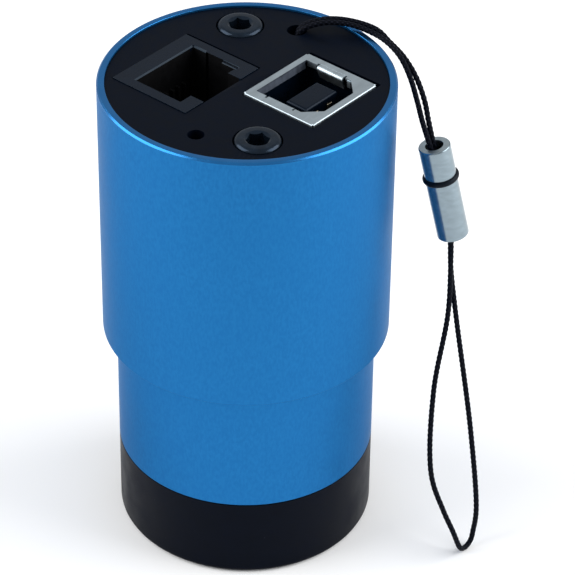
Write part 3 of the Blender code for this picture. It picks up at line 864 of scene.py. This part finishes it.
def make_cap():
    """The push-in cap: a rimmed foot, a plug in the barrel's bore and a moulding mark inside."""
    plug = box("dust_cap")[1].x - 2.175
    top = BARREL_FOOT - 0.03
    inside = plug - 1.4
    floor = 2.2
    foot = 0.35
    mark = 3.2
    mark_top = floor + 0.25
    cap = turned("cap_moulding", [
        (0, foot), (11.4, foot, 0.2), (11.8, 0, 0.25), (BARREL_RADIUS, 0, 0.75),
        (BARREL_RADIUS, top, 0.09), (plug, top, 0.1), (plug, CAP_PLUG_TOP - 0.5, 0.3),
        (plug - 0.35, CAP_PLUG_TOP, 0.15), (inside, CAP_PLUG_TOP, 0.2), (inside, floor, 0.6),
        (mark + 0.2, floor, 0.1), (mark, mark_top, 0.08), (0, mark_top),
    ], "cap")
    return keep(cap, "cap_plastic", "cap", "dust_cap")


def make_plate():
    """The rear plate, with windows for the sockets, counterbores and two small holes."""
    radius = PLATE_POCKET - 0.05
    clearance = 1.6
    bore = HEAD_RADIUS + 0.15
    below = PLATE_BOTTOM - 1.0
    above = PLATE_TOP + 1.0
    plate = add("back_plate", turned_mesh("back_plate", [
        (0, PLATE_BOTTOM), (radius, PLATE_BOTTOM), (radius, PLATE_TOP), (0, PLATE_TOP),
    ], FINE), "plate")
    tools = []
    for name, size, centre, slack in (("usb", USB_SIZE, USB_CENTRE, 0.6),
                                      ("guide", GUIDE_SIZE, GUIDE_CENTRE, 0.28)):
        x = size.x / 2 + FIT
        y = size.y / 2 + FIT
        outline = rectangle(-x, x, -y, y + slack, 0.2)
        tools.append(block(name, outline, below, above, "plate", centre))
    seat = SCREW_TOP - HEAD_HEIGHT - SEAM
    for i, centre in enumerate(SCREWS):
        mesh = turned_mesh("counterbore", [
            (0, below), (clearance, below), (clearance, seat), (bore, seat), (bore, above),
            (0, above),
        ], MEDIUM)
        shift(mesh, centre)
        tools.append(add(f"counterbore_{i}", mesh, "plate"))
    for name, hole, centre in (("lamp_hole", 1.0, LED_CENTRE),
                               ("lanyard_hole", 1.2, LANYARD_PLACE)):
        outline = polygon(hole, SMALL)
        tools.append(block(name, outline, below, above, "plate", centre))
    shape_with(plate, [(tool, CUT) for tool in tools])
    soften(plate, 0.07)
    return keep(plate, "black_anodised", "camera", "rear_plate")


# ---- screws

def make_screws():
    """M3 socket head screws: knurled head, rounded rim, chamfered hexagon, cut thread."""
    head_foot = SCREW_TOP - HEAD_HEIGHT
    knurl_foot = head_foot + 0.3
    knurl_top = SCREW_TOP - 0.75
    knurls = 40
    core = 1.2
    crest = 1.48
    hexagon = 2.5 / math.sqrt(3)
    cut = thread(0.5, 0.27, SCREW_FOOT, head_foot - 1.5)

    def shape(radius, height, angle):
        if radius > HEAD_RADIUS - 0.1 and knurl_foot < height < knurl_top:
            return radius - 0.05 * (1 + math.cos(angle * knurls)) / 2
        return cut(radius, height, angle) if radius > core and height < head_foot else radius

    for i, centre in enumerate(SCREWS, start=1):
        mesh = turned_mesh(f"socket_screw_{i}", [
            (0, SCREW_FOOT), (core, SCREW_FOOT), (crest, SCREW_FOOT + 0.3),
            *rows_between(crest, SCREW_FOOT + 0.3, head_foot, 0.08),
            (crest, head_foot), (HEAD_RADIUS, head_foot, 0.1),
            (HEAD_RADIUS, knurl_foot + 0.05), (HEAD_RADIUS, knurl_top - 0.05),
            (HEAD_RADIUS, SCREW_TOP, 0.55), (0, SCREW_TOP),
        ], MEDIUM, shape)
        screw = add(f"socket_screw_{i}", mesh, "screw")
        key = block("key", polygon(hexagon, 6, math.radians(25 * i)), SCREW_TOP - 1.7,
                    SCREW_TOP + 1, "screw")
        low = SCREW_TOP - 0.5
        high = SCREW_TOP + 0.05
        cone = turned_mesh("entry", [(0, low), (1.05, low), (1.62, high), (0, high)], SMALL)
        entry = add("entry", cone, "screw")
        shape_with(screw, [(key, CUT), (entry, CUT)])
        shift(screw.data, centre)
        soften(screw, 0.035, 2, 38)
        keep(screw, "black_screw", "camera", f"plate_screw_{i}")


# ---- sockets

def tab_outline(side):
    """The side view of one spring tab: out of the frame, round a bend and back under."""
    sheet = 0.26
    bend = 0.42
    tight = bend - sheet
    leg = 1.3
    root = USB_OPENING_Y + 0.7
    centre = USB_OPENING_Y + 0.1
    outer = [(root, 0.0)]
    inner = [(root, -sheet)]
    steps = 10
    for i in range(steps + 1):
        angle = math.radians(90 + 112 * i / steps)
        outer.append((centre + bend * math.cos(angle), bend * (math.sin(angle) - 1)))
        inner.append((centre + tight * math.cos(angle), tight * math.sin(angle) - bend))
    for line in (outer, inner):
        y, z = line[-1]
        line.append((y - leg * math.sin(angle), z + leg * math.cos(angle)))
    level = USB_TOP - 0.01
    return [(side * y, z + level) for y, z in outer + inner[::-1]]


def strip(name, side_view, low, high, materials, along="X"):
    """Extrude a side view of (across, height) points along X or Y."""
    mesh = prism_mesh(name, side_view, low, high)
    if along == "X":
        stand = Matrix(((0, 0, 1, 0), (1, 0, 0, 0), (0, 1, 0, 0), (0, 0, 0, 1)))
    else:
        stand = Matrix(((1, 0, 0, 0), (0, 0, -1, 0), (0, 1, 0, 0), (0, 0, 0, 1)))
    mesh.transform(stand)
    return add(name, mesh, materials)


def frame_outline(inset):
    """The socket's face, with the small notch that each folded corner leaves."""
    x = USB_SIZE.x / 2 - inset
    y = USB_SIZE.y / 2 - inset
    n = 0.2
    return [(-x, n - y), (n - x, n - y), (n - x, -y), (x - n, -y), (x - n, n - y), (x, n - y),
            (x, y - n), (x - n, y - n), (x - n, y), (n - x, y), (n - x, y - n), (-x, y - n)]


def crowned_block(name, outline, low, top, radius, materials, steps=5):
    """A block whose upper edge is rounded. outline gives the corners for an inset."""
    levels = [(0.0, low)]
    for i in range(steps + 1):
        angle = math.pi / 2 * i / steps
        levels.append((radius * (1 - math.cos(angle)), top - radius * (1 - math.sin(angle))))
    bm = bmesh.new()
    rings = []
    for inset, height in levels:
        rings.append([bm.verts.new(Vector((x, y, height)) * MM) for x, y in outline(inset)])
    skin_rings(bm, rings)
    return add(name, finished_mesh(bm, name), materials)


def mouth_outline():
    """The opening: cut corners at +X, and a wider stretch where each tab is folded in."""
    x = USB_OPENING_X
    y = USB_OPENING_Y
    slack = 0.3
    wide = y + 0.4
    right = [(x, y - USB_CORNER, 0.15), (x - USB_CORNER, y, 0.15), (TAB_HIGH + slack, y),
             (TAB_HIGH + slack, wide, 0.1), (TAB_LOW - slack, wide, 0.1),
             (TAB_LOW - slack, y), (-x, y, 0.1)]
    left = [(p[0], -p[1], *p[2:]) for p in right]
    return left[::-1] + right


def make_usb_can():
    """The socket's sheet can: its face, and the edges that are folded down into its mouth."""
    x = USB_SIZE.x / 2
    y = USB_SIZE.y / 2
    inside_x = x - USB_SHEET
    inside_y = y - USB_SHEET
    under = USB_TOP - USB_SHEET
    can = crowned_block("usb_can", frame_outline, FOOT, USB_TOP, 0.18, "nickel")
    hollow = block("hollow", rectangle(-inside_x, inside_x, -inside_y, inside_y), FOOT - 1,
                   under, "nickel")
    mouth = block("mouth", mouth_outline(), under - 0.1, USB_TOP + 1, "nickel")
    tools = [(hollow, CUT), (mouth, CUT)]
    skin = 0.25
    lean = 0.18
    lip_foot = USB_TOP - 0.95
    lip = [(-USB_OPENING_X - 0.02, USB_TOP - 0.12), (lean - USB_OPENING_X, lip_foot),
           (lean - skin - USB_OPENING_X, lip_foot), (-USB_OPENING_X - skin - 0.1, under)]
    tools.append((strip("lip", lip, -4.2, 4.2, "nickel", "Y"), JOIN))
    # Each fold along Y: its ends along X, how far it stands proud, and its depth
    folds = ((TAB_HIGH + 0.5, USB_OPENING_X - USB_CORNER, 0.0, 0.45),
             (TAB_HIGH + 0.62, TAB_HIGH + 1.12, 0.08, 1.1),
             (0.15 - USB_OPENING_X, TAB_LOW - 0.35, 0.0, 0.75))
    for side in (-1, 1):
        for low, high, proud, depth in folds:
            reach = sorted((side * (USB_OPENING_Y - proud), side * (USB_OPENING_Y + skin)))
            fold = block("fold", rectangle(low, high, *reach), USB_TOP - depth, under + 0.1,
                         "nickel")
            tools.append((fold, JOIN))
    for side in (-1, 1):
        tools.append((strip("tab", tab_outline(side), TAB_LOW, TAB_HIGH, "nickel"), JOIN))
    shape_with(can, tools)
    shift(can.data, USB_CENTRE)
    soften(can, 0.05)
    # Painted shade: the outer walls and the lip inside the mouth take darker copies of the
    # nickel
    can.data.materials.append(MATERIALS["nickel_wall"])
    can.data.materials.append(MATERIALS["nickel_lip"])
    rim = 0.14
    for face in can.data.polygons:
        spot = face.center / MM - USB_CENTRE
        if face.normal.z < 0.55 and (abs(spot.x) > x - rim or abs(spot.y) > y - rim):
            face.material_index = 1
        elif spot.x < 0.3 - USB_OPENING_X and face.normal.x > 0.5:
            face.material_index = 2
    return keep(can, "nickel_sheet", "camera", "usb_shell")


def make_usb_insert():
    """The moulded insert with its tongue, and the four contacts on the tongue's sides."""
    wall = USB_SHEET + SEAM
    x = USB_SIZE.x / 2 - wall
    y = USB_SIZE.y / 2 - wall
    top = USB_TOP - USB_SHEET - SEAM
    floor = FOOT + 5.5
    insert = block("usb_block", rectangle(-x, x, -y, y), FOOT, top, "insert")
    half_x = USB_OPENING_X + 0.15
    half_y = USB_OPENING_Y + 0.75
    corner = USB_CORNER + 0.2
    cavity = [(-half_x - 0.3, -half_y), (half_x - corner, -half_y), (half_x, corner - half_y),
              (half_x, half_y - corner), (half_x - corner, half_y), (-half_x - 0.3, half_y)]
    hole = block("cavity", cavity, floor, top + 1, "insert")
    tongue_x = 0.25
    thick = 1.6
    width = 2.8

    def tongue_outline(inset):
        x = thick - inset
        y = width - inset
        return rectangle(tongue_x - x, tongue_x + x, -y, y)

    tongue = crowned_block("tongue", tongue_outline, floor - 0.5, PLATE_TOP - 0.55, 0.4,
                           "insert", 4)
    tools = [(hole, CUT), (tongue, JOIN)]
    for side_x in (-1, 1):
        for side_y in (-1, 1):
            at_x = tongue_x + side_x * thick
            at_y = side_y * 1.25
            slot = rectangle(at_x - 0.12, at_x + 0.12, at_y - 0.55, at_y + 0.55)
            tools.append((block("slot", slot, floor + 0.4, PLATE_TOP - 1.4, "insert"), CUT))
    shape_with(insert, tools)
    shift(insert.data, USB_CENTRE)
    soften(insert, 0.08, 2)
    keep(insert, "black_plastic", "camera", "usb_insert")

    centre = USB_CENTRE.x + tongue_x
    for i in range(1, 5):
        low, high = box(f"usb_contact_{i}")
        side = -1 if low.x + high.x < 2 * centre else 1
        face = centre + side * (thick - 0.1)
        edges = sorted((face, face + side * 0.22))
        contact = block(f"usb_spring_{i}", rectangle(*edges, low.y + 0.05, high.y - 0.05, 0.05),
                        low.z, PLATE_TOP - 1.5, "gold")
        soften(contact, 0.04, 2)
        keep(contact, "gold_contact", "camera", f"usb_contact_{i}")


def make_guide_port():
    """The six-way modular socket: T-shaped cavity, ledges, a comb and spring contacts."""
    x = GUIDE_SIZE.x / 2
    y = GUIDE_SIZE.y / 2
    low_x = -3.35
    high_x = 3.75
    half_y = 5.05
    latch_y = 3.25
    latch_x = 5.45
    floor = box("guide_port_contact_1")[0].z - 0.3
    housing = block("guide_socket", rectangle(-x, x, -y, y), FOOT, GUIDE_TOP, "plastic")
    cavity = [(low_x, -half_y), (high_x, -half_y), (high_x, -latch_y), (latch_x, -latch_y),
              (latch_x, latch_y), (high_x, latch_y), (high_x, half_y), (low_x, half_y)]
    gate = rectangle(latch_x - 0.1, x + 0.1, -latch_y, latch_y)
    groove = rectangle(-1.35, -0.95, half_y - 0.1, half_y + 0.45)
    tools = [(block(name, outline, low, high, "plastic"), CUT) for name, outline, low, high in (
        ("cavity", cavity, floor, GUIDE_TOP + 1),
        ("gate", gate, GUIDE_TOP - 0.8, GUIDE_TOP + 1),
        ("groove", groove, floor + 1, GUIDE_TOP - 0.15),
    )]
    for side in (-1, 1):
        reach = sorted((side * (half_y - 0.28), side * (half_y + 0.2)))
        ledge = block("ledge", rectangle(1.4, high_x + 0.1, *reach), floor + 1,
                      GUIDE_TOP - 0.25, "plastic")
        tools.append((ledge, JOIN))
    for i in range(7):
        at = (i - 3) * CONTACT_PITCH
        rib = rectangle(low_x - 0.1, low_x + 0.55, at - 0.16, at + 0.16)
        tools.append((block("rib", rib, floor - 0.1, GUIDE_TOP - 4.2, "plastic"), JOIN))
    # Sloped leads on the cavity's edges: where the slope's corner is, its height, its ends
    for across, top, low, high in ((half_y - 0.52, GUIDE_TOP + 0.25, low_x, -1.3),
                                   (half_y - 0.76, GUIDE_TOP + 0.15, 1.35, high_x + 0.2)):
        slope = [(across, top), (across + 1, top), (across, top - 1)]
        tools.append((strip("lead", slope, low, high, "plastic"), CUT))
    top = GUIDE_TOP + 0.3
    slope = [(low_x - 0.48, top), (low_x + 0.3, top), (low_x + 0.3, GUIDE_TOP - 0.48)]
    tools.append((strip("lead", slope, -half_y, half_y, "plastic", "Y"), CUT))
    shape_with(housing, tools)
    shift(housing.data, GUIDE_CENTRE)
    soften(housing, 0.07)
    # Painted shade: the cavity's walls and floor take the matte black of the bores
    housing.data.materials.append(MATERIALS["bore"])
    skin = 0.2
    for face in housing.data.polygons:
        spot = face.center / MM - GUIDE_CENTRE
        inside = abs(spot.x) < x - skin and abs(spot.y) < y - skin
        if inside and face.center.z / MM < GUIDE_TOP - 0.35:
            face.material_index = 1
    keep(housing, "black_plastic", "camera", "guide_port_housing")

    for i in range(1, 7):
        node = f"guide_port_contact_{i}"
        low, high = box(node)
        y = (low.y + high.y) / 2
        start = low.x + 0.2
        bend = high.z - 4.3
        route = [(start, y, low.z), (start, y, bend - 1.2), (start + 0.06, y, bend - 0.35),
                 (start + 0.4, y, bend), (start + 0.75, y, bend - 0.4),
                 (start + 1.05, y, bend - 2.4), (high.x - 0.2, y, low.z + 4.4)]
        wire = tube(f"guide_spring_{i}", smooth_route(route, 0.15), 0.17, "gold")
        keep(wire, "gold_contact", "camera", node)


def tube(name, points, radius, material, sides=12):
    """A round wire with rounded ends along a line."""
    bm = bmesh.new()
    rings = []
    side = Vector((0, 1, 0))
    count = len(points)
    for i, point in enumerate(points):
        way = (points[min(i + 1, count - 1)] - points[max(i - 1, 0)]).normalized()
        other = way.cross(side).normalized()
        reach = radius * (0.6 if i in (0, count - 1) else 1.0)
        ring = []
        for k in range(sides):
            angle = 2 * math.pi * k / sides
            spot = point + (side * math.cos(angle) + other * math.sin(angle)) * reach
            ring.append(bm.verts.new(spot * MM))
        rings.append(ring)
    skin_rings(bm, rings)
    return add(name, finished_mesh(bm, name), material)


# ---- inside

CARRIED_OVER = {
    "brass": [f"{stage}_standoff_{i}" for stage in ("lower", "middle", "upper")
              for i in (1, 2)],
    "board": ["sensor_board", "main_board"],
    "epoxy": ["image_processor", "memory_chip", "voltage_regulator", "usb_controller",
              "guide_optocoupler"],
    "insert": ["board_connector"],
    "can": ["crystal"],
    "ceramic": ["image_sensor"],
    "glass": ["sensor_cover_glass", "window_glass"],
    "rubber": ["window_gasket"],
    "bore": ["window_retainer"],
    "led": ["status_led"],
}


def finish_carried_over():
    """Give the CAD nodes that stay their procedural materials."""
    for key, names in CARRIED_OVER.items():
        for name in names:
            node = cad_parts[name]
            node.data.materials.clear()
            node.data.materials.append(MATERIALS[key])


# ---- studio

def make_floor():
    bm = bmesh.new()
    bmesh.ops.create_circle(bm, cap_ends=True, radius=4.0, segments=96)
    mesh = finished_mesh(bm, "floor")
    tree = Tree("floor_paper")
    tree.set(Roughness=0.85, Specular_IOR_Level=0.1)
    slow = tree.noise(tree.place(), 60.0, 2.0)
    tree.feed(tree.mix(slow, (0.94, 0.94, 0.94), (0.96, 0.96, 0.96)), "Base Color")
    mesh.materials.append(tree.material)
    floor = put("floor", mesh)
    floor.location.z = -0.02 * MM


def make_softbox(name, side, power):
    """A large soft light to one side of the reference view, aimed at the camera's middle."""
    place = Vector((side * 330, -20, 235)) * MM
    aim = Vector((0, 0, 35)) * MM
    data = bpy.data.lights.new(name, "AREA")
    data.shape = "RECTANGLE"
    data.size = 360 * MM
    data.size_y = 340 * MM
    data.energy = power
    light = put(name, data)
    turn = (aim - place).to_track_quat("-Z", "Y").to_matrix().to_4x4()
    light.matrix_world = Matrix.Rotation(VIEW_TURN, 4, "Z") @ Matrix.Translation(place) @ turn


def make_studio():
    make_floor()
    make_softbox("left_softbox", -1, 1.42)
    make_softbox("right_softbox", 1, 1.56)
    world = bpy.data.worlds.new("studio")
    world.use_nodes = True
    background = world.node_tree.nodes["Background"]
    background.inputs["Color"].default_value = (0.97, 0.985, 1.0, 1.0)
    background.inputs["Strength"].default_value = 0.57
    bpy.context.scene.world = world
    bpy.context.scene.view_settings.view_transform = "Standard"


make_camera()
make_materials()
make_lanyard()
make_body()
make_barrel()
make_cap()
make_plate()
make_screws()
make_usb_can()
make_usb_insert()
make_guide_port()
finish_carried_over()
make_studio()
